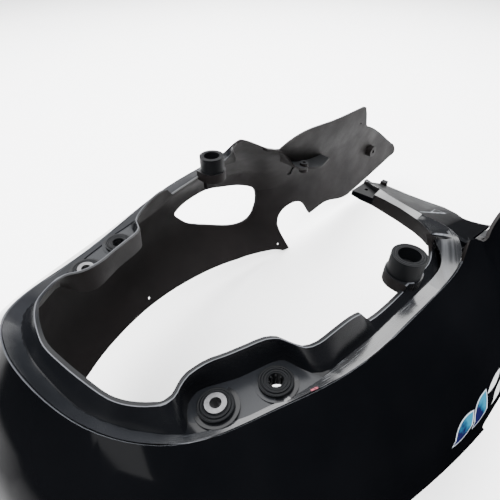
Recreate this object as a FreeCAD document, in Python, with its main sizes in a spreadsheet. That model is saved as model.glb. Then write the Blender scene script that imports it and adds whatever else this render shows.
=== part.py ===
import FreeCAD, Part
import math
import os
import Sketcher
from FreeCAD import Placement, Rotation, Vector

# One moulded motorcycle tail fairing, with the rubber parts and steel sleeves that stay in it.
# x runs forward, y to the left and z up, in mm. All stations are given from the rear middle of
# the outer edge round the seat, and the finished pieces are then moved back by mid_length, so
# that the origin lies on the ground under the middle of the whole.

doc = FreeCAD.newDocument("TailFairing")
sheet = doc.addObject("Spreadsheet::Sheet", "Sizes")

driving = {
    "mid_length": 322.5,      # half-way from the rear wall to the wing tips
    "wall": 2.8,              # moulded wall of panels, strip and ledges
    "lip_wall": 2.6,          # wall of the upstanding lip round the seat opening
    "edge_inset": 1.2,        # the strip starts this far inside the outer edge
    "edge_step": 0.5,         # and this far below it, which leaves a fine raised edge
    "groove_width": 1.0,      # shallow groove between strip and lip
    "groove_depth": 0.5,
    "rim_spacing": 6.0,       # longest flat stretch of the rim
    "step_width": 0.4,        # step from the strip down to the ledges of the grommets
    "step_depth": 0.9,
    "seat_tilt": 7.0,         # the grommets lean towards the middle, in degrees
    "rear_seat_x": 66.3,      # seat of the rear grommet, which carries a steel sleeve
    "rear_seat_y": 73.1,
    "rear_seat_z": 189.2,
    "front_seat_x": 99.7,     # seat of the front grommet, which carries none
    "front_seat_y": 85.8,
    "front_seat_z": 188.0,
    "seat_radius": 12.8,
    "seat_depth": 6.6,
    "seat_hole_radius": 7.4,
    "grommet_radius": 10.2,
    "grommet_flange": 1.8,
    "grommet_step_radius": 8.3,
    "grommet_step": 0.6,
    "grommet_bore_radius": 4.6,
    "grommet_foot": 1.8,      # lower flange, which holds the grommet in its hole
    "grommet_foot_radius": 8.6,
    "fit_gap": 0.1,           # clearance between rubber and the parts round and in it
    "sleeve_hole_radius": 3.3,
    "sleeve_flange_radius": 6.1,
    "sleeve_flange": 0.9,
    "damper_x": 211.5,
    "damper_y": 98.4,
    "damper_radius": 11.4,
    "damper_bore_radius": 7.4,
    "damper_height": 14.0,
    "damper_floor": 4.0,
    "damper_pin_radius": 2.4,
    "damper_pin_head": 1.6,
    "damper_pin_head_radius": 3.6,
    "tab_top": 208.2,
    "tab_radius": 12.5,
    "tab_depth": 9.0,
    "tab_reach": 8.6,         # how far the tab runs outwards into the lip
    "gusset_width": 10.0,     # web under the tab
    "gusset_offset": 4.4,
    "gusset_reach": 5.0,
    "gusset_height": 14.0,
    "rib_width": 2.6,         # rib along the front of the recess in the tip of the arm
    "recess_floor": 209.6,
    "tip_hole_radius": 1.6,
    "tip_hole_x": 281.0,
    "tip_hole_y": 26.0,
    "lug_length": 5.0,        # small lug on the front edge near the tip
    "lug_width": 5.0,
    "lug_height": 6.0,
    "lug_x": 305.0,
    "lug_y": -31.0,
    "lug_z": 202.0,
    "screw_boss_x": 374.0,
    "screw_boss_y": 111.5,
    "screw_boss_top": 151.5,
    "screw_boss_depth": 13.0,
    "screw_boss_radius": 5.6,
    "screw_hole_radius": 2.3,
    "peg_x": 592.0,           # hollow locating peg inside each wing
    "peg_z": 86.4,
    "peg_root": 136.0,        # half width at which the peg grows out of the wall
    "peg_radius": 9.4,
    "peg_bore_radius": 3.0,
    "peg_length": 10.0,
    "lamp_half_width": 62.0,  # opening for the tail lamp in the rear wall
    "lamp_bottom": 62.0,
    "lamp_top": 132.0,
    "lamp_corner": 14.0,
    "clip_hole_x": 134.6,     # hole for a push clip near the lower edge
    "clip_hole_z": 57.0,
    "clip_hole_radius": 1.8,
    "toe_hole_x": 355.6,      # hole in the lower front toe
    "toe_hole_z": 12.0,
    "toe_hole_radius": 2.2,
    "wing_hole_x": 523.7,     # small hole in the upper front corner of the wing
    "wing_hole_z": 157.0,
    "wing_hole_radius": 1.6,
    "groove_x": 377.5,        # short upright groove in the wall under each screw boss
    "groove_length": 6.0,
    "groove_low": 121.0,
    "groove_height": 17.0,
    "groove_cut": 1.4,
}
for row, (alias, value) in enumerate(driving.items(), 1):
    sheet.set("A%d" % row, alias)
    sheet.set("B%d" % row, str(value))
    sheet.setAlias("B%d" % row, alias)
doc.recompute()


def size(alias):
    return float(getattr(sheet, alias))


# Stations of the panel from the rear middle to the left front. Each gives the outer edge, the
# widest point and the foot, as x, half width and height, and how upright the upper part is.
panel_stations = [
    ((0, 0, 224), (-45, 0, 140), (-15, 0, 2), 0),
    ((1.8, 20, 221.8), (-43.5, 30, 140), (-14, 24, 2), 0),
    ((6.4, 38.5, 215.4), (-37, 60, 138), (-10, 46, 6), 0),
    ((14.8, 54.9, 208.4), (-22, 90, 134), (0, 72, 18), 0),
    ((32, 73, 198.8), (6, 118, 128), (22, 94, 38), 0),
    ((58.6, 87.5, 191.8), (50, 143, 122), (58, 113, 46), 0),
    ((88, 97.7, 190.4), (95, 160, 116), (98, 125, 49), 0),
    ((129, 112, 191.5), (150, 175, 110), (148, 133, 50), 0),
    ((183.3, 120.3, 198.1), (205, 186, 105), (212, 139, 41), 0),
    ((234, 123, 201.5), (255, 191, 103), (262, 140, 29), 0.1),
    ((250, 122.4, 206), (285, 191, 101), (292, 138, 20), 0.2),
    ((264, 118.6, 215), (315, 188, 100), (325, 132, 10), 0.4),
    ((300, 116.6, 203), (345, 171, 98), (366, 124, 0), 0.7),
    ((340, 117, 197), (385, 150, 96), (405, 127, 4), 1),
    ((400, 118, 195), (440, 141, 94), (450, 130, 8), 1),
    ((470, 119, 194), (500, 139, 92), (510, 132, 10), 1),
    ((540, 121, 192), (570, 138, 90), (575, 132, 12), 1),
    ((620, 124, 186), (640, 136, 90), (645, 131, 15), 1),
    ((720, 127, 176), (720, 133, 90), (720, 130, 20), 1),
]

# Stations of the rim round the seat: outer edge, inner edge of the strip, foot of the lip and
# top of the lip. Where the foot is None the lip starts at the strip, and elsewhere a ledge lies
# between them.
rim_stations = [
    ((0, 0, 224), (7.6, 0, 216), None, (15.3, 0, 220)),
    ((1.8, 20, 221.8), (9.2, 18.5, 213.6), None, (17.5, 16.5, 218.6)),
    ((6.4, 38.5, 215.4), (12.9, 35.5, 208.5), None, (21, 31, 215.3)),
    ((14.8, 54.9, 208.4), (18.2, 47.2, 205.5), None, (25.4, 43.5, 211)),
    ((22, 64, 203.8), (26.3, 57.8, 199.8), None, (31, 51.5, 208.3)),
    ((34, 74.6, 198.2), (36, 68, 196), None, (40, 59.2, 205.9)),
    ((43, 81, 194.8), (45, 75, 192.6), None, (45, 61.9, 205.1)),
    ((50, 84.3, 193), (51, 78, 190.6), (49.6, 69.8, 189.2), (49.6, 62, 205)),
    ((57, 87, 191.9), (57, 81.5, 189.9), (56.6, 60.9, 187.6), (55.5, 59.4, 205)),
    ((66, 90.2, 191.1), (66.5, 85.3, 189.6), (65, 58.6, 187.3), (63, 57.2, 205)),
    ((75, 93.3, 190.6), (75, 89, 189.3), (76, 63, 186.9), (73, 58.1, 204.8)),
    ((88, 97.7, 190.4), (88.5, 93.5, 189), (88, 68.6, 186.5), (86, 62.6, 204.5)),
    ((99, 101.8, 190.5), (99, 97.8, 188.9), (99.6, 72, 186.3), (97.5, 66.3, 204.3)),
    ((106, 104.2, 190.6), (106.5, 100, 188.9), (108.6, 75, 186.3), (108, 69.7, 203.9)),
    ((111, 106, 190.7), (111.5, 101, 188.8), (114.6, 79.2, 186.5), (114, 74.6, 203.5)),
    ((116, 107.9, 190.9), (116, 102, 188.8), (116.4, 88, 187.1), (116.6, 81.6, 203.4)),
    ((121, 109.6, 191.1), (121, 102.9, 189.1), (118.6, 96.4, 188.1), (120.5, 88.6, 202.3)),
    ((128, 111.8, 191.5), (128, 104, 189.8), None, (127.5, 92.9, 203.8)),
    ((140, 114.8, 192.8), (140, 105.4, 191), None, (139.5, 95.9, 208)),
    ((152, 117.2, 194.2), (152, 107.5, 192.6), None, (151, 98, 209.9)),
    ((159, 118.2, 195.1), (159, 108.5, 193.5), None, (158.5, 99.5, 208.8)),
    ((166, 119, 196), (166, 109.3, 194.5), None, (165.5, 103, 199.4)),
    ((183.3, 120.3, 198.1), (183, 110.8, 197), None, (183, 105.4, 200.7)),
    ((208, 122.2, 200.4), (208, 112.6, 200), None, (208, 106.7, 203.9)),
    ((234, 123, 201.5), (232, 113.8, 201.2), None, (231, 107, 206.2)),
    ((246, 122.8, 204), (250, 110.6, 201.8), None, (239, 104, 211.5)),
    ((252, 121.6, 208.6), (247, 105.5, 210), None, (240, 100.8, 218)),
    ((258, 113, 217.5), (243, 102.125, 221.8), None, (238, 98.5, 224.5)),
]

# Cross arm of the right side, from inside the panel to its free tip: half width, then the x and
# height of its rear edge, its ridge and its front edge, and the height of its rear wall.
arm_stations = [
    (117.5, (262, 213.5), (266, 213), (332, 192.5), 8),
    (112, (257, 217.3), (261, 217.4), (322, 196.5), 9),
    (104, (247, 220.6), (261.5, 218), (318, 197.5), 10),
    (98.5, (241.5, 222.6), (262.5, 218), (317, 198), 10),
    (92, (249, 220.4), (264, 218), (320, 198), 10.5),
    (81, (259.2, 217), (267.5, 217.6), (321, 198.5), 11.5),
    (64, (267.6, 214.6), (272, 216.6), (316.5, 200), 12),
    (49, (271, 213.9), (276, 216.2), (314, 201), 11.5),
    (38, (272.6, 213.3), (281, 215.3), (313.5, 201.5), 10.5),
    (26, (271.8, 212), (287.2, 213), (311, 203), 8.5),
    (25, (271.6, 211.8), (287.6, 212.9), (290.4, 212.6), 8),
    (18, (270.8, 211), (291, 211.9), (293.8, 211.6), 5.5),
]

# Side view of the ledge inside each wing, and the half widths of its free edge. The left one is
# broken off unevenly.
shelf_profile = [(303, 193), (320, 186), (331, 180), (339, 170.5), (345, 160), (357, 152),
                 (372, 147), (376, 145.5), (388, 141.5), (404, 137.5), (420, 135.5), (438, 134)]
shelf_edges = {
    "left": [112, 112, 113, 110, 104, 103, 104, 107.5, 105, 104, 109, 115],
    "right": [112, 112, 111, 108, 105, 104, 104, 104, 104, 105, 107, 110],
}

# Side view of both flanks, clockwise from above the rim. Curves run smoothly through their
# points, and each stretch starts where the one before it ends.
side_outline = [
    ("line", [(-100, 0), (-100, 300), (250, 300), (262, 216)]),
    ("curve", [(262, 216), (303, 194), (320, 185), (333.4, 180.7)]),
    ("curve", [(333.4, 180.7), (341.8, 184.9), (355.5, 188.6), (372.6, 190.6), (433, 187),
               (492, 185.4), (518, 185)]),
    ("line", [(518, 185), (522.9, 183), (546.5, 148.5), (552, 144.5)]),
    ("curve", [(552, 144.5), (575.6, 134), (628.8, 103.3), (672.2, 74.5)]),
    ("curve", [(672.2, 74.5), (687, 62), (690, 55), (677.2, 47.9)]),
    ("curve", [(677.2, 47.9), (595.7, 30.5), (540, 21)]),
    ("curve", [(540, 21), (504, 27), (471.9, 35.4), (449, 34.5), (431.1, 32.5)]),
    ("curve", [(431.1, 32.5), (423.5, 46), (416.5, 56), (406.6, 63), (396, 64.5), (384, 61.5),
               (373, 53), (367.4, 40), (368, 19.5), (371.4, 0)]),
    ("line", [(371.4, 0), (362, 0)]),
    ("curve", [(362, 0), (347, 8.5), (333.4, 12.6), (288.9, 24), (225.8, 38.4), (178.5, 47.6),
               (147.5, 50.9), (100, 50.5), (59.2, 47.4), (33.9, 45)]),
    ("curve", [(33.9, 45), (19, 33), (6, 14), (-4, 0)]),
    ("line", [(-4, 0), (-100, 0)]),
]
window_outline = [
    (214.8, 115.5), (221.6, 119.8), (242.8, 124.9), (263.9, 126.2), (294, 118.2), (332.2, 106.9),
    (341, 100.5), (343.3, 85.2), (339, 68.1), (329.6, 57.8), (316.5, 54.6), (298.6, 57.2),
    (259.5, 73.9), (230.4, 90.3), (219, 103.5),
]


def spline(points, parameters):
    curve = Part.BSplineCurve()
    curve.interpolate(Points=points, Parameters=parameters)
    return curve


def chord_parameters(rows):
    """Common parameters of several point rows, from their mean spacing."""
    values = [0.0]
    for i in range(1, len(rows[0])):
        step = sum((row[i] - row[i - 1]).Length for row in rows) / len(rows)
        values.append(values[-1] + step)
    return values


def half_to_whole(stations):
    """Rows of the left half, rear to front, become rows from the right front to the left front."""
    def on_side(station, side):
        return [Vector(x, side * half, z) for x, half, z in station]
    right = [on_side(station, -1) for station in reversed(stations[1:])]
    left = [on_side(station, 1) for station in stations]
    return right + left


def solid_between(sections, parameters, stretch=4):
    """Solid whose long edges are splines through the matching corners of its sections.

    Each long face is made in stretches of a few sections, which keeps its area exact.
    """
    corners = len(sections[0])
    curves = [spline([section[i] for section in sections], parameters) for i in range(corners)]
    marks = parameters[:-1:stretch] + [parameters[-1]]
    faces = []
    for i in range(corners):
        for start, end in zip(marks, marks[1:]):
            edges = []
            for curve in (curves[i], curves[(i + 1) % corners]):
                piece = curve.copy()
                piece.segment(start, end)
                edges.append(piece.toShape())
            faces.append(Part.makeRuledSurface(*edges))
    for section in (sections[0], sections[-1]):
        faces.append(Part.Face(Part.makePolygon(section + [section[0]])))
    shell = Part.makeShell(faces)
    shell.sewShape()
    solid = Part.makeSolid(shell)
    if solid.Volume < 0:
        solid.reverse()
    return solid


# The three guide curves of the panel run over the whole of it, from right to left.
guide_rows = half_to_whole([station[:3] for station in panel_stations])
guides = [[row[i] for row in guide_rows] for i in range(3)]
guide_parameters = chord_parameters(guides)
guide_curves = [spline(guide, guide_parameters) for guide in guides]
half_upright = [station[3] for station in panel_stations]
upright_values = half_upright[:0:-1] + half_upright


def uprightness(parameter):
    for i in range(len(guide_parameters) - 1):
        low, high = guide_parameters[i], guide_parameters[i + 1]
        if parameter <= high:
            share = (parameter - low) / (high - low)
            return upright_values[i] + (upright_values[i + 1] - upright_values[i]) * share
    return upright_values[-1]


def panel_point(parameter, drop):
    """Point of the outer face: drop is 0 at the outer edge, 1 at the widest point, 2 at the foot."""
    edge, wide, foot = [curve.value(parameter) for curve in guide_curves]
    if drop <= 1:
        upright = uprightness(parameter)
        bowed = 1 - (1 - drop) ** 2
        waisted = drop * drop * (3 - 2 * drop)
        share = (1 - upright) * bowed + upright * waisted
        start, end, down = edge, wide, drop
    else:
        down = drop - 1
        share = down * down
        start, end = wide, foot
    flat = start + (end - start) * share
    return Vector(flat.x, flat.y, start.z + (end.z - start.z) * down)


def panel_blank():
    """The thick U-shaped skin before its outline and openings are cut."""
    stations = 45
    drops = [0, 0.2, 0.42, 0.68, 1, 1.3, 1.62, 2]
    length = guide_parameters[-1]
    parameters = [length * i / (stations - 1) for i in range(stations)]
    outer = [[panel_point(value, drop) for drop in drops] for value in parameters]
    sections = []
    for i, row in enumerate(outer):
        before, after = outer[max(i - 1, 0)], outer[min(i + 1, stations - 1)]
        inner = []
        for j, point in enumerate(row):
            along = after[j] - before[j]
            down = row[min(j + 1, len(row) - 1)] - row[max(j - 1, 0)]
            inward = along.cross(down).normalize() * -1
            moved = point + inward * size("wall")
            if before is row or after is row:
                moved.x = point.x
            inner.append(moved)
        sections.append(row + inner[::-1])
    return solid_between(sections, parameters)


def ruled_solid(sections):
    """Solid with flat strips between matching corners of its sections."""
    wires = [Part.makePolygon(section + [section[0]]) for section in sections]
    return Part.makeLoft(wires, True, True)


def calm_spline(points, parameters):
    """Smooth curve through the points that never swings past them in x, y or height."""
    spans = [high - low for low, high in zip(parameters, parameters[1:])]
    slopes = [(end - start) * (1 / span) for start, end, span in zip(points, points[1:], spans)]

    def calm(before, after, span_before, span_after):
        if before * after <= 0:
            return 0.0
        first, second = 2 * span_after + span_before, span_after + 2 * span_before
        return (first + second) / (first / before + second / after)

    tangents = [slopes[0]]
    for i in range(1, len(points) - 1):
        pairs = zip(slopes[i - 1], slopes[i])
        tangents.append(Vector(*[calm(low, high, spans[i - 1], spans[i]) for low, high in pairs]))
    tangents.append(slopes[-1])
    poles = [points[0]]
    for i, span in enumerate(spans):
        poles += [points[i] + tangents[i] * (span / 3), points[i + 1] - tangents[i + 1] * (span / 3)]
    poles.append(points[-1])
    curve = Part.BSplineCurve()
    mults = [4] + [2] * (len(points) - 2) + [4]
    curve.buildFromPolesMultsKnots(poles, mults, parameters, False, 3)
    return curve


def rim_ring():
    """Top strip, ledges and upstanding lip, in one piece round the seat opening."""
    down = Vector(0, 0, -1)
    sections = []
    rows = [(-1, station) for station in reversed(rim_stations[1:])]
    rows += [(1, station) for station in rim_stations]
    for side, station in rows:
        points = [point and Vector(point[0], side * point[1], point[2]) for point in station]
        edge, strip, foot, top = points
        inward = Vector(top.x - edge.x, top.y - edge.y, 0).normalize()
        if foot is None:
            foot = strip + inward * size("groove_width") + down * size("groove_depth")
            step = strip + (foot - strip) * 0.5
        else:
            step = strip + inward * size("step_width") + down * size("step_depth")
        start = edge + inward * size("edge_inset") + down * size("edge_step")
        under = down * size("wall")
        back = inward * size("lip_wall")
        sections.append([start, strip, step, foot, top, top + back, foot + back + under,
                         strip + under, start + under])
    parameters = chord_parameters([[section[i] for section in sections] for i in (0, 3, 4)])
    curves = [calm_spline([section[i] for section in sections], parameters)
              for i in range(len(sections[0]))]
    finer = [sections[0]]
    for start, end in zip(parameters, parameters[1:]):
        count = math.ceil((end - start) / size("rim_spacing"))
        for i in range(1, count + 1):
            finer.append([curve.value(start + (end - start) * i / count) for curve in curves])
    finer[-1] = sections[-1]
    return ruled_solid(finer)


def wall_at(x, z):
    """Point of the left outer face at a given x and height."""
    low, high = guide_parameters[len(panel_stations) - 1], guide_parameters[-1]
    for _ in range(40):
        middle = (low + high) / 2
        edge, wide, foot = [curve.value(middle) for curve in guide_curves]
        if z > wide.z:
            drop = (edge.z - z) / (edge.z - wide.z)
        else:
            drop = 1 + (wide.z - z) / (wide.z - foot.z)
        point = panel_point(middle, min(max(drop, 0), 2))
        if point.x < x:
            low = middle
        else:
            high = middle
    return point


def cross_arm():
    """The one arm that still reaches over from the right flank."""
    wall = size("wall")
    sections = []
    for half, rear, ridge, front, drop in arm_stations:
        def corner(point, dx=0.0, dz=0.0):
            return Vector(point[0] + dx, -half, point[1] + dz)
        sections.append([corner(rear), corner(ridge), corner(front), corner(front, -0.6, -wall),
                         corner(ridge, 0, -wall), corner(rear, wall, -wall),
                         corner(rear, wall, -drop), corner(rear, 0, -drop)])
    return ruled_solid(sections)


def arm_envelope():
    """Filled outline of the arm, to trim what is added inside it."""
    sections = []
    for half, rear, ridge, front, drop in arm_stations:
        foot = rear[1] - drop
        sections.append([Vector(rear[0], -half, rear[1]), Vector(ridge[0], -half, ridge[1]),
                         Vector(ridge[0], -half, foot), Vector(rear[0], -half, foot)])
    return ruled_solid(sections)


def arm_recess(low, high, grow):
    """Block over the recess in the tip of the arm, between its rear edge and its rib."""
    corners = [(262, 38 + grow), (281 - grow, 38 + grow), (293 - grow, 10), (262, 10)]
    points = [Vector(x, -half, low) for x, half in corners]
    face = Part.Face(Part.makePolygon(points + [points[0]]))
    return face.extrude(Vector(0, 0, high - low))


def shelf(inner_edge, side):
    """Stepped ledge inside the wing, whose free edge lies at the given half widths."""
    wall = size("wall")
    sections = []
    for (x, z), half in zip(shelf_profile, inner_edge):
        outer = wall_at(x, z).y - wall / 2
        sections.append([Vector(x, side * half, z), Vector(x, side * outer, z),
                         Vector(x, side * outer, z - wall), Vector(x, side * half, z - wall)])
    return ruled_solid(sections)


def profile_prism(stretches, half_width=260):
    """A closed side view of lines and curves, drawn through the whole width."""
    edges = []
    for kind, points in stretches:
        corners = [Vector(x, -half_width, z) for x, z in points]
        if kind == "curve":
            curve = Part.BSplineCurve()
            curve.interpolate(Points=corners)
            edges.append(curve.toShape())
        else:
            edges += Part.makePolygon(corners).Edges
    face = Part.Face(Part.Wire(edges))
    return face.extrude(Vector(0, 2 * half_width, 0))


def smooth_prism(points, half_width=260):
    """The same with a smooth closed curve through the points."""
    curve = Part.BSplineCurve()
    curve.interpolate(Points=[Vector(x, -half_width, z) for x, z in points], PeriodicFlag=True)
    face = Part.Face(Part.Wire(curve.toShape()))
    return face.extrude(Vector(0, 2 * half_width, 0))


def feature(name, shape):
    made = doc.addObject("Part::Feature", name)
    made.Shape = shape
    return made


def cylinder(name, radius, height, position, axis=Vector(0, 0, 1)):
    """Cylinder whose radius and height are expressions of the sheet."""
    made = doc.addObject("Part::Cylinder", name)
    made.setExpression("Radius", radius)
    made.setExpression("Height", height)
    made.Placement = Placement(position, Rotation(Vector(0, 0, 1), axis))
    return made


def joined(name, objects):
    made = doc.addObject("Part::MultiFuse", name)
    made.Shapes = objects
    return made


def cut(name, base, tool):
    made = doc.addObject("Part::Cut", name)
    made.Base = base
    made.Tool = tool
    return made


def seat_frame(which, side, lift=0.0):
    """Placement of a grommet: its origin on the seat, its axis leaning inwards."""
    tilt = Rotation(Vector(1, 0, 0), side * size("seat_tilt"))
    base = Vector(size(which + "_seat_x"), side * size(which + "_seat_y"), size(which + "_seat_z"))
    return Placement(base + tilt.multVec(Vector(0, 0, lift)), tilt)


sides = {"left": 1, "right": -1}

arm = doc.addObject("Part::Cut", "ArmWithRecess")
arm.Base = feature("CrossArm", cross_arm())
arm.Tool = feature("ArmRecess", arm_recess(size("recess_floor"), 240, 0))
tip_floor = doc.addObject("Part::Common", "TipFloor")
tip_floor.Base = feature("FloorBlock", arm_recess(size("recess_floor") - size("wall"),
                                                  size("recess_floor"), -1))
tip_floor.Tool = feature("ArmEnvelope", arm_envelope())
lug = doc.addObject("Part::Box", "TipLug")
lug.setExpression("Length", "Sizes.lug_length")
lug.setExpression("Width", "Sizes.lug_width")
lug.setExpression("Height", "Sizes.lug_height")
lug.Placement = Placement(Vector(size("lug_x"), size("lug_y"), size("lug_z")), Rotation())
added = [feature("RimRing", rim_ring()), arm, tip_floor, lug]
removed = [feature("FlankWindows", smooth_prism(window_outline))]
for name, side in sides.items():
    tag = name.capitalize()
    added.append(feature("Shelf" + tag, shelf(shelf_edges[name], side)))

    for which in ("rear", "front"):
        frame = seat_frame(which, side)
        disc = cylinder("SeatDisc" + which + tag, "Sizes.seat_radius", "Sizes.seat_depth", Vector())
        disc.Placement = seat_frame(which, side, -size("seat_depth"))
        added.append(disc)
        hole = cylinder("SeatHole" + which + tag, "Sizes.seat_hole_radius", "60", Vector())
        hole.Placement = seat_frame(which, side, -30)
        removed.append(hole)

    tab_centre = Vector(size("damper_x"), side * size("damper_y"), size("tab_top") - size("tab_depth"))
    added.append(cylinder("Tab" + tag, "Sizes.tab_radius", "Sizes.tab_depth", tab_centre))
    root = doc.addObject("Part::Box", "TabRoot" + tag)
    root.setExpression("Length", "2 * Sizes.tab_radius")
    root.setExpression("Width", "Sizes.tab_reach")
    root.setExpression("Height", "Sizes.tab_depth")
    shift = 0 if side > 0 else -size("tab_reach")
    root.Placement = Placement(tab_centre + Vector(-size("tab_radius"), shift, 0), Rotation())
    added.append(root)
    web = doc.addObject("Part::Box", "TabWeb" + tag)
    web.setExpression("Length", "Sizes.gusset_width")
    web.setExpression("Width", "Sizes.gusset_reach")
    web.setExpression("Height", "Sizes.gusset_height")
    near = size("gusset_offset")
    shift = near if side > 0 else -near - size("gusset_reach")
    web.Placement = Placement(tab_centre + Vector(-size("gusset_width") / 2, shift,
                                                  -size("gusset_height") + 0.5), Rotation())
    added.append(web)
    pin_hole = cylinder("PinHole" + tag, "Sizes.damper_pin_radius + Sizes.fit_gap",
                        "Sizes.tab_depth + 2", tab_centre - Vector(0, 0, 1))
    removed.append(pin_hole)

    boss_top = Vector(size("screw_boss_x"), side * size("screw_boss_y"), size("screw_boss_top"))
    boss_foot = boss_top - Vector(0, 0, size("screw_boss_depth"))
    added.append(cylinder("ScrewBoss" + tag, "Sizes.screw_boss_radius", "Sizes.screw_boss_depth",
                          boss_foot))
    removed.append(cylinder("ScrewHole" + tag, "Sizes.screw_hole_radius",
                            "Sizes.screw_boss_depth + 2", boss_foot - Vector(0, 0, 1)))

    inward = Vector(0, -side, 0)
    peg_root = Vector(size("peg_x"), side * size("peg_root"), size("peg_z"))
    added.append(cylinder("Peg" + tag, "Sizes.peg_radius", "Sizes.peg_length", peg_root, inward))
    removed.append(cylinder("PegBore" + tag, "Sizes.peg_bore_radius", "Sizes.peg_length",
                            peg_root + inward, inward))

    foot = wall_at(size("groove_x"), size("groove_low"))
    crown = wall_at(size("groove_x"), size("groove_low") + size("groove_height"))
    lean = math.degrees(math.atan2(foot.y - crown.y, crown.z - foot.z))
    groove = doc.addObject("Part::Box", "WallGroove" + tag)
    groove.setExpression("Length", "Sizes.groove_length")
    groove.setExpression("Height", "Sizes.groove_height")
    groove.Width = 12
    outer = foot.y - size("wall") + size("groove_cut")
    groove.Placement = Placement(Vector(size("groove_x"), side * outer, size("groove_low")),
                                 Rotation(Vector(1, 0, 0), side * lean))
    if side > 0:
        groove.Placement = groove.Placement * Placement(Vector(0, -12, 0), Rotation())
    removed.append(groove)

for name in ("clip", "toe", "wing"):
    start = Vector(size(name + "_hole_x"), -260, size(name + "_hole_z"))
    removed.append(cylinder(name.capitalize() + "Hole", "Sizes.%s_hole_radius" % name, "520", start,
                            Vector(0, 1, 0)))
removed.append(cylinder("TipHole", "Sizes.tip_hole_radius", "40",
                        Vector(size("tip_hole_x"), -size("tip_hole_y"), 190)))


def sheet_value(text):
    """Value of a sum of sheet names and numbers, with blanks between its terms."""
    total, sign = 0.0, 1
    for word in text.split():
        if word in "+-":
            sign = 1 if word == "+" else -1
        elif word.startswith("Sizes."):
            total += sign * size(word[6:])
        else:
            total += sign * float(word)
    return total


def sketch_of(body, role, corners):
    """Closed chain of lines; every corner is a pair of sums of sheet values."""
    sketch = body.newObject("Sketcher::SketchObject", "Outline")
    plane = next(item for item in body.Origin.OriginFeatures if item.Role == role)
    sketch.AttachmentSupport = [(plane, "")]
    sketch.MapMode = "FlatFace"
    points = [Vector(sheet_value(across), sheet_value(up), 0) for across, up in corners]
    count = len(points)
    for i, start in enumerate(points):
        sketch.addGeometry(Part.LineSegment(start, points[(i + 1) % count]))
    for i in range(count):
        sketch.addConstraint(Sketcher.Constraint("Coincident", i, 2, (i + 1) % count, 1))
    for i, (point, corner) in enumerate(zip(points, corners)):
        for kind, value, text in (("DistanceX", point.x, corner[0]),
                                  ("DistanceY", point.y, corner[1])):
            index = sketch.addConstraint(Sketcher.Constraint(kind, -1, 1, i, 1, value))
            sketch.setExpression("Constraints[%d]" % index, text)
    return sketch


def turned_body(name, corners):
    """Body of revolution from half of its section, given as radius and height."""
    body = doc.addObject("PartDesign::Body", name)
    body.Label = name
    sketch = sketch_of(body, "XZ_Plane", corners)
    turned = body.newObject("PartDesign::Revolution", "Turned")
    turned.Profile = sketch
    turned.ReferenceAxis = (sketch, ["V_Axis"])
    turned.Angle = 360
    sketch.Visibility = False
    return body


grommet_top = "Sizes.grommet_flange + Sizes.grommet_step"
grommet_bottom = "0 - Sizes.seat_depth - Sizes.grommet_foot"
neck = "Sizes.seat_hole_radius - Sizes.fit_gap"
neck_bottom = "0 - Sizes.seat_depth - Sizes.fit_gap"
grommet_section = [
    ("Sizes.grommet_bore_radius", grommet_top),
    ("Sizes.grommet_step_radius", grommet_top),
    ("Sizes.grommet_step_radius", "Sizes.grommet_flange"),
    ("Sizes.grommet_radius", "Sizes.grommet_flange"),
    ("Sizes.grommet_radius", "0"),
    (neck, "0"),
    (neck, neck_bottom),
    ("Sizes.grommet_foot_radius", neck_bottom),
    ("Sizes.grommet_foot_radius", grommet_bottom),
    ("Sizes.grommet_bore_radius", grommet_bottom),
]
sleeve = "Sizes.grommet_bore_radius - Sizes.fit_gap"
sleeve_top = grommet_top + " + Sizes.sleeve_flange"
sleeve_section = [
    ("Sizes.sleeve_hole_radius", sleeve_top),
    ("Sizes.sleeve_flange_radius", sleeve_top),
    ("Sizes.sleeve_flange_radius", grommet_top),
    (sleeve, grommet_top),
    (sleeve, grommet_bottom),
    ("Sizes.sleeve_hole_radius", grommet_bottom),
]
tab_under = "0 - Sizes.tab_depth - Sizes.fit_gap"
pin_end = tab_under + " - Sizes.damper_pin_head"
damper_section = [
    ("0", "Sizes.damper_floor"),
    ("Sizes.damper_bore_radius", "Sizes.damper_floor"),
    ("Sizes.damper_bore_radius", "Sizes.damper_height"),
    ("Sizes.damper_radius", "Sizes.damper_height"),
    ("Sizes.damper_radius", "0"),
    ("Sizes.damper_pin_radius", "0"),
    ("Sizes.damper_pin_radius", tab_under),
    ("Sizes.damper_pin_head_radius", tab_under),
    ("Sizes.damper_pin_head_radius", pin_end),
    ("0", pin_end),
]

nodes = []
for name, side in sides.items():
    for which in ("rear", "front"):
        grommet = turned_body("grommet_%s_%s" % (which, name), grommet_section)
        grommet.Placement = seat_frame(which, side)
        nodes.append(grommet)
    collar = turned_body("sleeve_" + name, sleeve_section)
    collar.Placement = seat_frame("rear", side)
    nodes.append(collar)
    damper = turned_body("damper_" + name, damper_section)
    damper.Placement = Placement(Vector(size("damper_x"), side * size("damper_y"), size("tab_top")),
                                 Rotation())
    nodes.append(damper)

lamp = doc.addObject("PartDesign::Body", "LampOpening")
half = "Sizes.lamp_half_width"
flat = half + " - Sizes.lamp_corner"
other_half = "0 - Sizes.lamp_half_width"
other_flat = other_half + " + Sizes.lamp_corner"
low_corner = "Sizes.lamp_bottom + Sizes.lamp_corner"
high_corner = "Sizes.lamp_top - Sizes.lamp_corner"
lamp_outline = sketch_of(lamp, "YZ_Plane", [
    (half, low_corner), (half, high_corner), (flat, "Sizes.lamp_top"),
    (other_flat, "Sizes.lamp_top"), (other_half, high_corner), (other_half, low_corner),
    (other_flat, "Sizes.lamp_bottom"), (flat, "Sizes.lamp_bottom"),
])
lamp_pad = lamp.newObject("PartDesign::Pad", "Through")
lamp_pad.Profile = lamp_outline
lamp_pad.Length = 160
lamp_pad.Midplane = True
removed.append(lamp)

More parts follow.
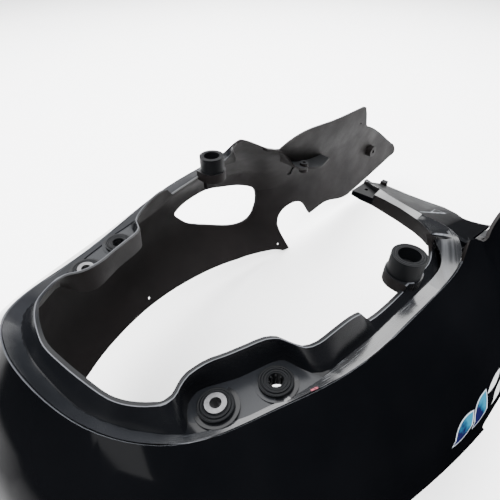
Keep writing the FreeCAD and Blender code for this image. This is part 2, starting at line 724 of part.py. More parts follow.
outline = feature("SideOutline", profile_prism(side_outline))
skin = doc.addObject("Part::Common", "Skin")
skin.Base = feature("PanelBlank", panel_blank())
skin.Tool = outline
whole = joined("Whole", [skin] + added)
openings = joined("Openings", removed)
fairing = cut("tail_fairing", whole, openings)
nodes.append(fairing)
for node in nodes:
    node.Placement = Placement(Vector(-size("mid_length"), 0, 0), Rotation()).multiply(node.Placement)

doc.recompute()
os.makedirs("parts", exist_ok=True)
for item in doc.Objects:
    if "Invalid" in item.State or "Error" in item.State:
        raise RuntimeError("%s is not valid" % item.Label)
for node in nodes:
    shape = node.Shape
    if shape.isNull() or not shape.isValid() or len(shape.Solids) != 1:
        raise RuntimeError("%s is not one sound solid" % node.Label)
    shape.exportStep("parts/%s.step" % node.Label)
    print(node.Label, round(shape.Volume))
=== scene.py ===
import math

import bmesh
import bpy
from mathutils import Matrix, Vector


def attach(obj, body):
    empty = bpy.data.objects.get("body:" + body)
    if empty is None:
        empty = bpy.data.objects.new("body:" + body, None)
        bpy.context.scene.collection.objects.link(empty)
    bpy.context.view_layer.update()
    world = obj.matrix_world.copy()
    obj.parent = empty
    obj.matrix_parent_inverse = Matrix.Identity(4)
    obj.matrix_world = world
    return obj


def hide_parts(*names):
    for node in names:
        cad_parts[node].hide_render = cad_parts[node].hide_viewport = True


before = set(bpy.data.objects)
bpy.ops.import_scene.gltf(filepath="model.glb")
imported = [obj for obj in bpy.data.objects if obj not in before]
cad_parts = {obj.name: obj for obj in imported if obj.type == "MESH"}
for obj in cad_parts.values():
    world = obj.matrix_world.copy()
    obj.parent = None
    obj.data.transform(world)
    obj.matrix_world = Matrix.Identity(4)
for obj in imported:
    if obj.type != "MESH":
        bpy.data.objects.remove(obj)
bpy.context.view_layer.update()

print("frame loaded")

rearEdge = -0.3225    # x of the rear edge of the rim; places on the part count from here, in mm

studio = {
    "floorSize": 16.0,
    "floorColour": (0.94, 0.94, 0.945, 1.0),
    "skyColour": (0.86, 0.89, 0.93, 1.0),
    "skyStrength": 0.30,
    # place, target, width, depth, watts
    "softBoxes": [
        ((0.2, 0.6, 1.7), (0.2, 0.6, 0.0), 4.0, 3.4, 460),
        ((2.4, 2.2, 3.0), (2.0, 1.8, 0.0), 4.2, 4.2, 300),
        ((-1.4, -1.6, 2.2), (0.1, 0.1, 0.1), 1.2, 1.2, 50),
    ],
}

view = {
    "place": (rearEdge + 0.0104, -0.155, 0.3815),
    "look": (0.535, 0.5395, -0.649),
    "up": (0.457, 0.460, 0.761),
    "lens": 27.0,
}

# Three lines of the rim seen from above, rear to front: distance along, half width.
rimEdge = [(0, 0), (1.8, 20), (6.4, 38.5), (14.8, 54.9), (32, 73), (58.6, 87.5), (88, 97.7),
           (129, 112), (183.3, 120.3), (234, 123), (246, 122.8), (252, 121.6)]
stripEdge = [(7.6, 0), (9.2, 18.5), (12.9, 35.5), (18.2, 47.2), (26.3, 57.8), (36, 68), (45, 75),
             (57, 81.5), (75, 89), (88.5, 93.5), (111.5, 101), (140, 105.4), (166, 109.3),
             (183, 110.8), (208, 112.6), (232, 113.8), (250, 110.6)]
lipTop = [(15.3, 0), (17.5, 16.5), (21, 31), (25.4, 43.5), (31, 51.5), (40, 59.2), (49.6, 62),
          (55.5, 59.4), (63, 57.2), (73, 58.1), (86, 62.6), (97.5, 66.3), (108, 69.7), (114, 74.6),
          (116.6, 81.6), (120.5, 88.6), (127.5, 92.9), (139.5, 95.9), (158.5, 99.5),
          (165.5, 103), (183, 105.4), (208, 106.7), (231, 107), (239, 104)]


def clearSelection():
    if bpy.context.mode != "OBJECT":
        bpy.ops.object.mode_set(mode="OBJECT")
    bpy.ops.object.select_all(action="DESELECT")


def onPart(forward, across, up):
    return (rearEdge + forward / 1000, across / 1000, up / 1000)


def newMaterial(name):
    material = bpy.data.materials.new(name)
    material.use_nodes = True
    tree = material.node_tree
    tree.nodes.clear()
    output = tree.nodes.new("ShaderNodeOutputMaterial")
    shader = tree.nodes.new("ShaderNodeBsdfPrincipled")
    tree.links.new(shader.outputs["BSDF"], output.inputs["Surface"])
    return material, tree, shader


def feed(tree, socket, value):
    if isinstance(value, bpy.types.NodeSocket):
        tree.links.new(value, socket)
    else:
        socket.default_value = value


def attribute(tree, name):
    node = tree.nodes.new("ShaderNodeAttribute")
    node.attribute_name = name
    return node.outputs["Fac"]


def place(tree):
    return tree.nodes.new("ShaderNodeTexCoord").outputs["Object"]


def calc(tree, operation, first, second=0.0, third=0.0, clamp=False):
    node = tree.nodes.new("ShaderNodeMath")
    node.operation = operation
    node.use_clamp = clamp
    for socket, value in zip(node.inputs, (first, second, third)):
        feed(tree, socket, value)
    return node.outputs["Value"]


def along(tree, first, second, operation="DOT_PRODUCT"):
    node = tree.nodes.new("ShaderNodeVectorMath")
    node.operation = operation
    feed(tree, node.inputs[0], first)
    feed(tree, node.inputs[1], second)
    return node.outputs["Value" if operation in ("DOT_PRODUCT", "DISTANCE") else "Vector"]


def noise(tree, vector, scale, detail=4.0, roughness=0.5):
    node = tree.nodes.new("ShaderNodeTexNoise")
    node.inputs["Scale"].default_value = scale
    node.inputs["Detail"].default_value = detail
    node.inputs["Roughness"].default_value = roughness
    tree.links.new(vector, node.inputs["Vector"])
    return node.outputs["Fac"]


def ramp(tree, value, low, high, start, end):
    node = tree.nodes.new("ShaderNodeMapRange")
    node.inputs["From Min"].default_value = low
    node.inputs["From Max"].default_value = high
    node.inputs["To Min"].default_value = start
    node.inputs["To Max"].default_value = end
    tree.links.new(value, node.inputs["Value"])
    return node.outputs["Result"]


def mixColour(tree, factor, first, second):
    node = tree.nodes.new("ShaderNodeMix")
    node.data_type = "RGBA"
    feed(tree, node.inputs["Factor"], factor)
    for name, colour in (("A", first), ("B", second)):
        socket = [item for item in node.inputs if item.name == name and item.type == "RGBA"][0]
        feed(tree, socket, colour)
    return [item for item in node.outputs if item.type == "RGBA"][0]


def bump(tree, shader, height, strength, distance):
    node = tree.nodes.new("ShaderNodeBump")
    node.inputs["Strength"].default_value = strength
    node.inputs["Distance"].default_value = distance
    tree.links.new(height, node.inputs["Height"])
    tree.links.new(node.outputs["Normal"], shader.inputs["Normal"])


# 1 on the straight line between two places of the part, 0 beyond its width in mm
def lineMask(tree, where, start, end, width):
    start, end = Vector(onPart(*start)), Vector(onPart(*end))
    run = end - start
    offset = along(tree, where, start, "SUBTRACT")
    share = calc(tree, "MULTIPLY", along(tree, offset, run), 1 / run.length_squared, clamp=True)
    scaled = tree.nodes.new("ShaderNodeVectorMath")
    scaled.operation = "SCALE"
    scaled.inputs[0].default_value = run
    tree.links.new(share, scaled.inputs["Scale"])
    gap = along(tree, offset, scaled.outputs["Vector"], "DISTANCE")
    return ramp(tree, gap, width * 0.0005, width * 0.001, 1.0, 0.0)


def anyOf(tree, masks):
    total = masks[0]
    for mask in masks[1:]:
        total = calc(tree, "MAXIMUM", total, mask)
    return total


finishes = {
    # colour, worn colour, roughness and its spread, grain strength and scale, shine
    "glossBlack": ((0.0010, 0.0011, 0.0014, 1), (0.0016, 0.0017, 0.0021, 1), 0.07, 0.02, 0.01, 160, 0.03),
    "satinStrip": ((0.004, 0.0044, 0.0052, 1), (0.009, 0.0095, 0.011, 1), 0.22, 0.06, 0.08, 500, 0.42),
    "ledgeBlack": ((0.0045, 0.005, 0.006, 1), (0.008, 0.0086, 0.010, 1), 0.22, 0.04, 0.08, 900, 0.10),
    "wallBlack": ((0.0016, 0.0018, 0.0023, 1), (0.003, 0.0032, 0.0038, 1), 0.22, 0.05, 0.08, 600, 0.10),
    "armFront": ((0.0022, 0.0023, 0.0026, 1), (0.0035, 0.0036, 0.004, 1), 0.55, 0.08, 0.08, 600, 0.07),
    "lipEdge": ((0.0035, 0.0038, 0.0043, 1), (0.006, 0.0063, 0.007, 1), 0.30, 0.06, 0.10, 600, 0.06),
    "innerMatte": ((0.0030, 0.0025, 0.0025, 1), (0.0050, 0.0040, 0.0040, 1), 0.62, 0.08, 0.20, 700, 0.07),
    # painted light: the shelf top is coloured lighter than the wing wall it belongs to, to make up for the
    # wing's shade on it
    "shelfTopPaintedLighter": ((0.008, 0.0084, 0.0092, 1), (0.014, 0.0147, 0.016, 1), 0.45, 0.06, 0.10, 600, 0.15),
    "rubberBlack": ((0.0016, 0.0018, 0.0022, 1), (0.0035, 0.0038, 0.0044, 1), 0.45, 0.08, 0.30, 1300, 0.05),
}
nearToFar = (-0.35, 1.0, 0.0)    # direction from the near side to the far one, leaning to the rear
# Shine that changes over the part, matched to the tones of the one photo:
# direction, where the change starts and ends in metres, shine at its end
fading = {
    "glossBlack": ((-0.3, 0.0, 1.0), 0.262, 0.237, 0.0),
    "satinStrip": (nearToFar, -0.02, 0.08, 0.03),
    "ledgeBlack": ((0.0, 1.0, 0.0), -0.092, -0.068, 0.04),
    "wallBlack": (nearToFar, 0.0, 0.10, 0.05),
    "armFront": ((0.0, 1.0, 0.0), -0.078, -0.100, 0.0),
}
# Below the rim only the far flank shines; the near one is kept dark, as in the photo.
# Distances across and up between which the shine sets in, in metres
farFlank = {"across": (0.04, 0.10), "up": (0.172, 0.15), "shine": 0.10}


def plastic(name):
    colour, worn, roughness, spread, grain, grainScale, shine = finishes[name]
    material, tree, shader = newMaterial(name)
    where = place(tree)
    tint = mixColour(tree, ramp(tree, noise(tree, where, 14.0), 0.35, 0.7, 0.0, 1.0), colour, worn)
    smears = noise(tree, where, 32.0, 6.0, 0.6)
    tree.links.new(ramp(tree, smears, 0.3, 0.7, roughness - spread, roughness + spread),
                   shader.inputs["Roughness"])
    bump(tree, shader, noise(tree, where, grainScale, 3.0), grain, 0.0003)
    shader.inputs["Specular IOR Level"].default_value = shine
    if name in fading:
        way, low, high, far = fading[name]
        level = ramp(tree, along(tree, where, Vector(way)), low, high, shine, far)
        tree.links.new(level, shader.inputs["Specular IOR Level"])
    return material, tree, shader, where, tint


# A plastic with straight fine light marks, each given by two ends and a width in mm; on the arm front these
# are stress-whitened cracks, on the walls painted highlights along ridges
def marked(name, lines=(), strength=1.0):
    material, tree, shader, where, tint = plastic(name)
    if lines:
        mask = anyOf(tree, [lineMask(tree, where, *line) for line in lines])
        broken = ramp(tree, noise(tree, where, 420.0, 3.0), 0.34, 0.52, 0.0, strength)
        tint = mixColour(tree, calc(tree, "MULTIPLY", mask, broken), tint, wearAndPaintedHighlights["crackWhiteAndHighlightColour"])
    tree.links.new(tint, shader.inputs["Base Color"])
    return material


# Satin strip with scratches along it, two moulded lines, a painted highlight along its outer edge and a
# pink scuff
def stripFinish():
    material, tree, shader, where, tint = plastic("satinStrip")
    inside = attribute(tree, "rimInside")
    run = attribute(tree, "rimRun")
    joined = tree.nodes.new("ShaderNodeCombineXYZ")
    tree.links.new(calc(tree, "MULTIPLY", run, wearAndPaintedHighlights["streakRun"]), joined.inputs["X"])
    tree.links.new(calc(tree, "MULTIPLY", inside, wearAndPaintedHighlights["streakAcross"]), joined.inputs["Y"])
    streaks = noise(tree, joined.outputs["Vector"], wearAndPaintedHighlights["streakScale"], 3.0, 0.55)
    nearSide = ramp(tree, along(tree, where, Vector(nearToFar)), *wearAndPaintedHighlights["nearSide"], 0.9, 0.0)
    scratches = calc(tree, "MULTIPLY", ramp(tree, streaks, *wearAndPaintedHighlights["scratchFrom"], 0.0, 0.8), nearSide)
    tint = mixColour(tree, scratches, tint, wearAndPaintedHighlights["scratchColour"])
    for offset, width in wearAndPaintedHighlights["mouldedLines"]:
        gap = calc(tree, "ABSOLUTE", calc(tree, "SUBTRACT", inside, offset))
        line = calc(tree, "MULTIPLY", ramp(tree, gap, width * 0.4, width, 1.0, 0.0), nearSide)
        tint = mixColour(tree, line, tint, wearAndPaintedHighlights["lineColour"])
    # painted highlight: a light band along the outer edge of the strip
    tint = mixColour(tree, ramp(tree, inside, *wearAndPaintedHighlights["stripEdge"], 0.8, 0.0), tint, wearAndPaintedHighlights["paintedEdgeHighlight"])
    for spot, size in wearAndPaintedHighlights["pinkScuffs"]:
        mask = lineMask(tree, where, spot, (spot[0] + 2.5, spot[1] - 1.0, spot[2]), size)
        broken = ramp(tree, noise(tree, where, 900.0, 3.0), 0.40, 0.55, 0.0, 0.8)
        tint = mixColour(tree, calc(tree, "MULTIPLY", mask, broken), tint, wearAndPaintedHighlights["pink"])
    tree.links.new(tint, shader.inputs["Base Color"])
    rough = calc(tree, "ADD", ramp(tree, streaks, 0.35, 0.65, 0.20, 0.27),
                 calc(tree, "MULTIPLY", scratches, 0.3))
    tree.links.new(rough, shader.inputs["Roughness"])
    return material


# Top of the lip, with a painted highlight line along its outer edge
def lipFinish():
    material, tree, shader, where, tint = plastic("lipEdge")
    # painted highlight: a light line along the outer edge of the lip top
    edge = ramp(tree, attribute(tree, "lipInside"), *wearAndPaintedHighlights["lipEdge"], 1.0, 0.0)
    tint = mixColour(tree, edge, tint, wearAndPaintedHighlights["paintedEdgeHighlight"])
    tree.links.new(tint, shader.inputs["Base Color"])
    return material


# Rubber with fine turned ridges round the axes of the grommets and dampers
def rubberFinish():
    material, tree, shader, where, tint = plastic("rubberBlack")
    mirrored = along(tree, where, (0, 0, 0), "ABSOLUTE")
    parts = tree.nodes.new("ShaderNodeSeparateXYZ")
    tree.links.new(where, parts.inputs["Vector"])
    mirror = tree.nodes.new("ShaderNodeSeparateXYZ")
    tree.links.new(mirrored, mirror.inputs["Vector"])
    radii = []
    for x, y in wearAndPaintedHighlights["rubberAxes"]:
        spot = tree.nodes.new("ShaderNodeCombineXYZ")
        tree.links.new(parts.outputs["X"], spot.inputs["X"])
        tree.links.new(mirror.outputs["Y"], spot.inputs["Y"])
        centre = onPart(x, y, 0)
        radii.append(along(tree, spot.outputs["Vector"], centre, "DISTANCE"))
    nearest = radii[0]
    for radius in radii[1:]:
        nearest = calc(tree, "MINIMUM", nearest, radius)
    wave = calc(tree, "SINE", calc(tree, "MULTIPLY", nearest, wearAndPaintedHighlights["ridgePitch"]))
    tint = mixColour(tree, ramp(tree, wave, 0.2, 1.0, 0.0, 0.8), tint, wearAndPaintedHighlights["ridgeColour"])
    bump(tree, shader, wave, 0.5, 0.0004)
    tree.links.new(tint, shader.inputs["Base Color"])
    return material


graphic = {
    # middle along and up, half length and half width in mm, slant in degrees
    "leaves": [((185.0, 136.5), 14.5, 6.4, 24), ((205.0, 137.5), 14.0, 6.6, 38)],
    "blades": [((228.0, 144.5), 12.0, 2.2, 10), ((227.0, 136.5), 10.0, 2.4, 24)],
    "outline": 0.001, "softness": 0.0001,    # metres
    "silver": (0.30, 0.33, 0.36, 1),
    "white": (0.42, 0.43, 0.43, 1),
    "navy": (0.005, 0.005, 0.030, 1),
    "teal": (0.014, 0.105, 0.165, 1),
}


# How deep a place lies inside a pointed leaf drawn on the flank, in metres
def leafDepth(tree, where, leaf):
    (x, z), length, width, slant = leaf
    turn = math.radians(slant)
    offset = along(tree, where, Vector(onPart(x, 0, z)), "SUBTRACT")
    lengthways = along(tree, offset, Vector((math.cos(turn), 0, math.sin(turn))))
    sideways = along(tree, offset, Vector((-math.sin(turn), 0, math.cos(turn))))
    share = calc(tree, "DIVIDE", lengthways, length / 1000)
    half = calc(tree, "MULTIPLY_ADD", calc(tree, "MULTIPLY", share, share), -width / 1000, width / 1000)
    return calc(tree, "SUBTRACT", half, calc(tree, "ABSOLUTE", sideways)), share


def glossSkin():
    material, tree, shader, where, tint = plastic("glossBlack")
    line, soft = graphic["outline"], graphic["softness"]
    for leaf in graphic["leaves"]:
        depth, share = leafDepth(tree, where, leaf)
        inside = ramp(tree, depth, -soft, soft, 0.0, 1.0)
        core = ramp(tree, depth, line - soft, line + soft, 0.0, 1.0)
        cloud = calc(tree, "ADD", calc(tree, "MULTIPLY", share, 0.6), noise(tree, where, 120.0, 2.0))
        fill = mixColour(tree, ramp(tree, cloud, 0.40, 0.75, 0.0, 1.0), graphic["navy"], graphic["teal"])
        tint = mixColour(tree, inside, tint, graphic["silver"])
        tint = mixColour(tree, core, tint, fill)
    for blade in graphic["blades"]:
        depth, share = leafDepth(tree, where, blade)
        tint = mixColour(tree, ramp(tree, depth, -soft, soft, 0.0, 1.0), tint, graphic["white"])
    tree.links.new(tint, shader.inputs["Base Color"])
    outwards = ramp(tree, along(tree, where, Vector((0, 1, 0))), *farFlank["across"],
                    0.0, farFlank["shine"])
    low = ramp(tree, along(tree, where, Vector((0, 0, 1))), *farFlank["up"], 0.0, 1.0)
    level = shader.inputs["Specular IOR Level"].links[0].from_socket
    feed(tree, shader.inputs["Specular IOR Level"],
         calc(tree, "MAXIMUM", level, calc(tree, "MULTIPLY", outwards, low)))
    return material


# real wear (scratches, scuffs, cracks, rubber ridges) together with the painted highlights along edges and
# ridges
wearAndPaintedHighlights = {
    "streakRun": 0.02, "streakAcross": 0.9, "streakScale": 3.2,    # stretched along the strip
    "scratchFrom": (0.60, 0.66),    # noise at which a streak turns into a scratch
    "nearSide": (0.0, 0.03),    # metres along nearToFar in which scratches and lines fade out
    "stripEdge": (0.45, 0.8), "lipEdge": (0.45, 0.7),    # mm in which the painted highlight along the outer edge fades
    "mouldedLines": [(2.2, 0.35), (3.6, 0.25)],    # mm inside the outer edge, half width
    "pinkScuffs": [((109.5, -103.2, 190.4), 1.3)],
    "rubberAxes": [(66.3, 73.1), (99.7, 85.8), (211.5, 98.4)],
    "ridgePitch": 3900.0,
    # light colour of the painted highlights along the outer edges of strip and lip
    "paintedEdgeHighlight": (0.045, 0.047, 0.052, 1),
    # light colour of the stress-whitened cracks and of the painted ridge highlights
    "crackWhiteAndHighlightColour": (0.10, 0.105, 0.115, 1),
    "scratchColour": (0.035, 0.037, 0.041, 1),
    "lineColour": (0.0008, 0.0008, 0.001, 1),
    "pink": (0.22, 0.045, 0.065, 1),
    "ridgeColour": (0.0015, 0.0016, 0.002, 1),
    # ends and width in mm
    "armCracks": [((272, -78, 216), (284, -82, 211.6), 0.7), ((284, -82, 211.6), (303, -88, 204.6), 0.9),
                  ((284, -82, 211.6), (300, -80, 205.6), 0.6), ((300, -80, 205.6), (303, -88, 204.6), 0.5)],
    # painted highlights: light lines along the crests of the arm's ridges
    "armRidgeHighlights": [((271.0, -79, 216.0), (262, -79.5, 216.6), 0.7),
                 ((243.5, -98.5, 222.4), (258, -110.5, 219), 1.6)],
}
materials = {
    "glossBlack": glossSkin(),
    "satinStrip": stripFinish(),
    "ledgeBlack": marked("ledgeBlack"),
    # the light lines on the walls are painted highlights along the ridges
    "wallBlack": marked("wallBlack", wearAndPaintedHighlights["armRidgeHighlights"], 0.6),
    "armFront": marked("armFront", wearAndPaintedHighlights["armCracks"]),
    "lipEdge": lipFinish(),
    "innerMatte": marked("innerMatte"),
    "shelfTopPaintedLighter": marked("shelfTopPaintedLighter"),
    "rubberBlack": rubberFinish(),
}
print("plastics and rubber ready")


def steelFinish():
    material, tree, shader = newMaterial("zincSteel")
    where = place(tree)
    shader.inputs["Metallic"].default_value = 1.0
    tint = mixColour(tree, noise(tree, where, 400.0), (0.035, 0.035, 0.037, 1), (0.08, 0.08, 0.082, 1))
    tree.links.new(tint, shader.inputs["Base Color"])
    tree.links.new(ramp(tree, noise(tree, where, 900.0), 0.3, 0.7, 0.34, 0.52),
                   shader.inputs["Roughness"])
    return material


zincSteel = steelFinish()


# Normals of the corners, each one shared with the neighbouring faces that bend little
def easedNormals(mesh, normals, limit=math.cos(math.radians(26))):
    corners = {}
    for loop in mesh.loops:
        corners.setdefault(loop.vertex_index, []).append(loop.index)
    eased = [None] * len(normals)
    for group in corners.values():
        distinct = []
        for index in group:
            if all(normals[index].dot(other) < 0.9998 for other in distinct):
                distinct.append(normals[index])
        for index in group:
            near = [other for other in distinct if other.dot(normals[index]) > limit]
            eased[index] = tuple(sum(near, Vector()).normalized())
    return eased


def mergedCopy(nodeName, pieceName):
    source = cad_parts[nodeName]
    clearSelection()
    mesh = source.data.copy()
    piece = bpy.data.objects.new(pieceName, mesh)
    bpy.context.scene.collection.objects.link(piece)
    # The true surface normals are kept through the merge, as a value of each corner.
    kept = mesh.attributes.new("trueNormal", "FLOAT_VECTOR", "CORNER")
    for slot, corner in zip(kept.data, source.data.corner_normals):
        slot.vector = corner.vector
    shape = bmesh.new()
    shape.from_mesh(mesh)
    bmesh.ops.remove_doubles(shape, verts=shape.verts, dist=0.00002)
    shape.to_mesh(mesh)
    shape.free()
    mesh.materials.clear()
    mesh.shade_smooth()
    normals = [slot.vector.copy() for slot in mesh.attributes["trueNormal"].data]
    mesh.attributes.remove(mesh.attributes["trueNormal"])
    mesh.normals_split_custom_set(easedNormals(mesh, normals))
    return piece


# The same line with smooth bends, mirrored to the other side of the middle
def roundedLine(points, steps=8):
    half = [Vector(point) for point in points]
    line = [Vector((point.x, -point.y)) for point in half[:0:-1]] + half
    finer = []
    for i in range(len(line) - 1):
        before, after = line[max(i - 1, 0)], line[min(i + 2, len(line) - 1)]
        start, end = line[i], line[i + 1]
        for k in range(steps):
            t = k / steps
            finer.append(0.5 * (2 * start + (end - before) * t
                                + (2 * before - 5 * start + 4 * end - after) * t * t
                                + (3 * start - before - 3 * end + after) * t * t * t))
    return finer + [line[-1]]


# Distance from a spot to a line round the seat, above 0 on the inner side
def insideLine(line, spot):
    best, found = 1e9, 0.0
    for start, end in zip(line, line[1:]):
        run = end - start
        share = min(max((spot - start).dot(run) / run.length_squared, 0.0), 1.0)
        offset = spot - (start + run * share)
        if offset.length < best:
            best = offset.length
            found = math.copysign(best, run.cross(offset))
    return -found


edgeLine, stripLine, lipLine = [roundedLine(line) for line in (rimEdge, stripEdge, lipTop)]


zones = {
    # mm along, across or up on the part
    "rimFront": 252, "rimBottom": 178, "lipBottom": 187,
    "panRear": 49, "panFront": 120, "panTop": 188.8,
    "armRear": 230, "armOuter": 118, "armBottom": 190, "channelOuter": -80,
    "tipOuter": -38, "tipTop": 211.5,
    "wingRear": 300, "shelfBottom": 100, "shelfTop": 180,
    "flankMiddle": 130,
}


# Name of the finish of a face, from its middle and the way that it faces. Distances are
# in mm; what a normal is compared with lies between -1 and 1.
def zoneOf(centre, normal):
    x, y, z = (centre.x - rearEdge) * 1000, centre.y * 1000, centre.z * 1000
    if x < zones["rimFront"] and z > zones["rimBottom"]:
        spot = Vector((x, y))
        if insideLine(edgeLine, spot) > 0.12:
            if normal.z < 0 or (normal.z < 0.3 and z < zones["lipBottom"]):
                return "innerMatte"
            if insideLine(lipLine, spot) > 0.1:
                return "lipEdge" if normal.z > 0.6 else "innerMatte"
            if insideLine(stripLine, spot) < 0.3:
                return "satinStrip"
            if z < zones["panTop"] and zones["panRear"] < x < zones["panFront"] and normal.z > 0.7:
                return "ledgeBlack"
            return "wallBlack"
    onArm = -zones["armOuter"] < y < 0 and x > zones["armRear"] and z > zones["armBottom"]
    if onArm and normal.z > 0.3:
        if normal.x > 0.2 or (y > zones["tipOuter"] and z < zones["tipTop"]):
            return "armFront"
        return "satinStrip" if y > zones["channelOuter"] else "wallBlack"
    if x > zones["wingRear"]:
        # upward faces of the shelf get a lighter copy of the plastic: painted light
        if normal.z > 0.75 and zones["shelfBottom"] < z < zones["shelfTop"]:
            return "shelfTopPaintedLighter"
        return "glossBlack" if normal.y * y > 0.25 * abs(y) else "innerMatte"
    middle = zones["flankMiddle"]
    outward = normal.y * y + normal.z * (z - middle) + normal.x * min(x - middle, 0)
    return "glossBlack" if outward > 0 else "innerMatte"


rimFar = 20.0         # value of points off the rim, well inside its lines, in mm
rimValuesEnd = 262    # mm along, beyond which points count as off the rim


# Stores how far each point lies inside two lines of the rim, and how far along it, in mm
def rimValues(mesh):
    inside = mesh.attributes.new("rimInside", "FLOAT", "POINT")
    lip = mesh.attributes.new("lipInside", "FLOAT", "POINT")
    run = mesh.attributes.new("rimRun", "FLOAT", "POINT")
    for vertex in mesh.vertices:
        spot = Vector(((vertex.co.x - rearEdge) * 1000, vertex.co.y * 1000))
        inside.data[vertex.index].value = rimFar
        if vertex.co.z > zones["rimBottom"] / 1000 and spot.x < rimValuesEnd:
            inside.data[vertex.index].value = insideLine(edgeLine, spot)
            lip.data[vertex.index].value = insideLine(lipLine, spot)
            run.data[vertex.index].value = spot.x + abs(spot.y)


rampShape = {
    # inner and outer edge of the band in which the strip climbs to the arm
    "pairs": [
        ((210, -112.8, 199.0), (212, -121.6, 199.2)),
        ((224, -113.6, 201.3), (227, -122.0, 201.4)),
        ((235.5, -113.9, 204.2), (240, -122.4, 204.4)),
        ((240.8, -111.4, 209.5), (247.3, -121.6, 208.0)),
        ((241.0, -105.0, 217.0), (253.6, -118.6, 213.5)),
        ((242.6, -98.8, 222.4), (258.2, -112.6, 218.3)),
        ((247.5, -95.2, 221.9), (262.5, -106.0, 218.6)),
        ((253.5, -89.0, 219.8), (266.0, -96.0, 218.2)),
        ((259.0, -81.5, 217.4), (267.6, -86.0, 217.7)),
    ],
    "thickness": 0.0016,
    "inside": 12.0,    # mm from the edge of the strip, where no moulded line is drawn
}


edgeRound = 0.0003    # rounding of the band and the blocks, in metres


# Moves one point of the edited mesh to its place
def moveOnly(mesh, index, spot):
    shape = bmesh.from_edit_mesh(mesh)
    shape.verts.ensure_lookup_table()
    for vertex in shape.verts:
        vertex.select_set(vertex.index == index)
    shape.select_flush_mode()
    bmesh.update_edit_mesh(mesh)
    step = Vector(spot) - shape.verts[index].co
    bpy.ops.transform.translate(value=step)


# A curved band: a plane whose end is extruded from pair to pair of its two edges
def bandPiece(name, pairs, thickness):
    clearSelection()
    bpy.ops.mesh.primitive_plane_add(size=0.002, location=(0, 0, 0))
    band = bpy.context.object
    band.name = name
    mesh = band.data
    bpy.context.tool_settings.mesh_select_mode = (True, False, False)
    bpy.ops.object.mode_set(mode="EDIT")
    for index, spot in ((0, pairs[0][0]), (1, pairs[0][1]), (2, pairs[1][0]), (3, pairs[1][1])):
        moveOnly(mesh, index, onPart(*spot))
    for inner, outer in pairs[2:]:
        shape = bmesh.from_edit_mesh(mesh)
        shape.verts.ensure_lookup_table()
        count = len(shape.verts)
        for vertex in shape.verts:
            vertex.select_set(vertex.index >= count - 2)
        shape.select_flush_mode()
        bmesh.update_edit_mesh(mesh)
        bpy.ops.mesh.extrude_edges_move(TRANSFORM_OT_translate={"value": (0.001, 0, 0)})
        shape = bmesh.from_edit_mesh(mesh)
        shape.verts.index_update()
        added = sorted((vertex for vertex in shape.verts if vertex.select), key=lambda v: v.index)
        for vertex, spot in zip([item.index for item in added], (inner, outer)):
            moveOnly(mesh, vertex, onPart(*spot))
    bpy.ops.mesh.select_all(action="SELECT")
    bpy.ops.mesh.normals_make_consistent(inside=False)
    bpy.ops.object.mode_set(mode="OBJECT")
    if sum(face.normal.z for face in mesh.polygons) < 0:
        bpy.ops.object.mode_set(mode="EDIT")
        bpy.ops.mesh.select_all(action="SELECT")
        bpy.ops.mesh.flip_normals()
        bpy.ops.object.mode_set(mode="OBJECT")
    wall = band.modifiers.new("wall", "SOLIDIFY")
    wall.thickness = thickness
    wall.offset = -1.0
    edge = band.modifiers.new("edge", "BEVEL")
    edge.width = edgeRound
    edge.segments = 2
    edge.limit_method = "ANGLE"
    edge.angle_limit = math.radians(60)
    smooth = band.modifiers.new("smooth", "SUBSURF")
    smooth.levels = 3
    smooth.render_levels = 3
    for modifier in ("wall", "edge", "smooth"):
        bpy.ops.object.modifier_apply(modifier=modifier)
    bpy.ops.object.shade_smooth_by_angle(angle=math.radians(50))
    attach(band, "root")
    clearSelection()
    return band


blocks = {
    # middle and size in mm, turn and lean in degrees, finish
    "archWeb": ((257, -114.5, 205), (9, 4, 12), -20, 0, "wallBlack"),
    "archWebOuter": ((264, -118.2, 203), (16, 2.4, 10), 6, 0, "wallBlack"),
    "grooveFloorFar": ((381, 138.6, 130), (8, 1.5, 19), -5.4, 20, "innerMatte"),
    "grooveFloorNear": ((381, -138.6, 130), (8, 1.5, 19), 5.4, -20, "innerMatte"),
    "tipRibWall": ((284.6, -30.3, 210.0), (17, 1.2, 6.2), 66.4, 0, "armFront"),
    "tipEndWall": ((276.6, -38.3, 209.6), (9.5, 1.2, 5.6), 0, 0, "armFront"),
}


# A small moulded block: its middle and size on the part in mm, leant over, then turned
def blockPiece(name, centre, size, turn, lean, material):
    clearSelection()
    bpy.ops.mesh.primitive_cube_add(size=1, location=(0, 0, 0))
    block = bpy.context.object
    block.name = name
    block.scale = [value / 1000 for value in size]
    block.rotation_euler = (math.radians(lean), 0, math.radians(turn))
    block.location = onPart(*centre)
    bpy.ops.object.transform_apply(location=True, rotation=True, scale=True)
    rounding = block.modifiers.new("rounding", "BEVEL")
    rounding.width = edgeRound
    rounding.segments = 2
    bpy.ops.object.modifier_apply(modifier="rounding")
    bpy.ops.object.shade_smooth_by_angle(angle=math.radians(35))
    block.data.materials.append(material)
    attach(block, "root")
    clearSelection()


star = {
    "middles": {"Near": (99.7, -85.8), "Far": (99.7, 85.8)},    # the empty front grommets
    "level": 185.0, "bore": 4.6, "ribs": 8, "reach": 1.3, "width": 1.4, "height": 8.4,
    "taper": (1, 0.45, 0.8), "rounding": 0.0002,
}


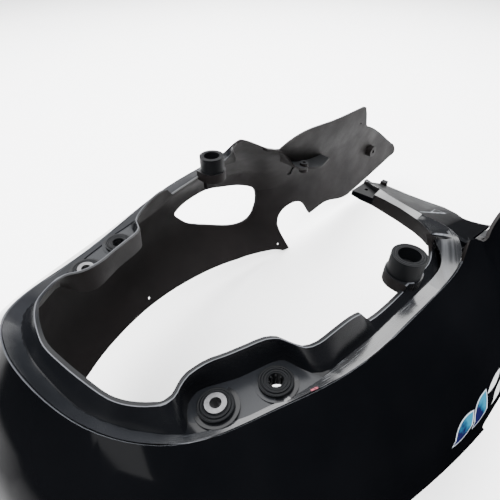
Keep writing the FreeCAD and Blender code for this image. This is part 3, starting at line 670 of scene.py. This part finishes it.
# Inner ribs of an empty grommet: one tapered rib, copied round the bore and joined
def starPiece(name, middle):
    clearSelection()
    bpy.ops.mesh.primitive_cube_add(size=1, location=(0, 0, 0))
    rib = bpy.context.object
    rib.name = name
    rib.scale = ((star["reach"] + 0.5) / 1000, star["width"] / 1000, star["height"] / 1000)
    rib.location = ((star["bore"] + 0.25 - star["reach"] / 2) / 1000, 0, 0)
    bpy.ops.object.transform_apply(location=True, rotation=True, scale=True)
    bpy.context.tool_settings.mesh_select_mode = (True, False, False)
    bpy.ops.object.mode_set(mode="EDIT")
    shape = bmesh.from_edit_mesh(rib.data)
    inner = min(vertex.co.x for vertex in shape.verts)
    for vertex in shape.verts:
        vertex.select_set(vertex.co.x < inner + 0.0001)
    shape.select_flush_mode()
    bmesh.update_edit_mesh(rib.data)
    bpy.ops.transform.resize(value=star["taper"])
    bpy.ops.object.mode_set(mode="OBJECT")
    rounding = rib.modifiers.new("rounding", "BEVEL")
    rounding.width = star["rounding"]
    rounding.segments = 2
    bpy.ops.object.modifier_apply(modifier="rounding")
    for k in range(1, star["ribs"]):
        copy = rib.copy()
        copy.data = rib.data.copy()
        bpy.context.scene.collection.objects.link(copy)
        copy.rotation_euler = (0, 0, 2 * math.pi * k / star["ribs"])
        copy.select_set(True)
    bpy.ops.object.transform_apply(location=True, rotation=True, scale=True)
    bpy.ops.object.join()
    rib.location = onPart(*middle, star["level"])
    bpy.ops.object.transform_apply(location=True, rotation=True, scale=True)
    bpy.ops.object.shade_smooth_by_angle(angle=math.radians(35))
    rib.data.materials.append(materials["rubberBlack"])
    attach(rib, "root")
    clearSelection()


def shellPiece():
    piece = mergedCopy("tail_fairing", "fairingShell")
    mesh = piece.data
    rimValues(mesh)
    order = [name for name in materials if name != "rubberBlack"]
    for name in order:
        mesh.materials.append(materials[name])
    for face in mesh.polygons:
        face.material_index = order.index(zoneOf(face.center, face.normal))
    return piece


shell = shellPiece()
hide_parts("tail_fairing")
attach(shell, "root")
for nodeName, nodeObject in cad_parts.items():
    if nodeName == "tail_fairing":
        continue
    nodeObject.data.materials.clear()
    steel = nodeName.startswith("sleeve")
    nodeObject.data.materials.append(zincSteel if steel else materials["rubberBlack"])
rampBand = bandPiece("rampBand", rampShape["pairs"], rampShape["thickness"])
for name in ("satinStrip", "wallBlack"):
    rampBand.data.materials.append(materials[name])
for face in rampBand.data.polygons:
    face.material_index = 1 if face.center.z > 0.2195 or face.center.y > -0.104 else 0
rimValues(rampBand.data)
for value in rampBand.data.attributes["rimInside"].data:
    value.value = rampShape["inside"]
for name, (centre, size, turn, lean, finish) in blocks.items():
    blockPiece(name, centre, size, turn, lean, materials[finish])
for word, middle in star["middles"].items():
    starPiece("starRibs" + word, middle)
print("pieces dressed")


def floorPiece():
    clearSelection()
    bpy.ops.mesh.primitive_plane_add(size=studio["floorSize"], location=(0, 0, 0))
    floor = bpy.context.object
    floor.name = "studioFloor"
    material, tree, shader = newMaterial("paleFloor")
    shader.inputs["Base Color"].default_value = studio["floorColour"]
    shader.inputs["Roughness"].default_value = 0.6
    floor.data.materials.append(material)


def softBox(spot, target, width, depth, watts):
    bpy.ops.object.light_add(type="AREA", location=spot)
    lamp = bpy.context.object
    lamp.data.shape = "RECTANGLE"
    lamp.data.size = width
    lamp.data.size_y = depth
    lamp.data.energy = watts
    aim = Vector(target) - Vector(spot)
    lamp.rotation_euler = aim.to_track_quat("-Z", "Y").to_euler()


floorPiece()
for box in studio["softBoxes"]:
    softBox(*box)
world = bpy.data.worlds.new("studioSky")
bpy.context.scene.world = world
world.use_nodes = True
sky = world.node_tree.nodes["Background"]
sky.inputs["Color"].default_value = studio["skyColour"]
sky.inputs["Strength"].default_value = studio["skyStrength"]


def cameraPiece():
    clearSelection()
    bpy.ops.object.camera_add(location=view["place"])
    camera = bpy.context.object
    look = Vector(view["look"]).normalized()
    right = look.cross(Vector(view["up"])).normalized()
    up = right.cross(look)
    turn = Matrix((right, up, -look)).transposed()
    camera.rotation_euler = turn.to_euler()
    camera.data.sensor_width = 36.0
    camera.data.lens = view["lens"]
    camera.data.clip_start = 0.01
    bpy.context.scene.camera = camera


cameraPiece()
print("studio ready")
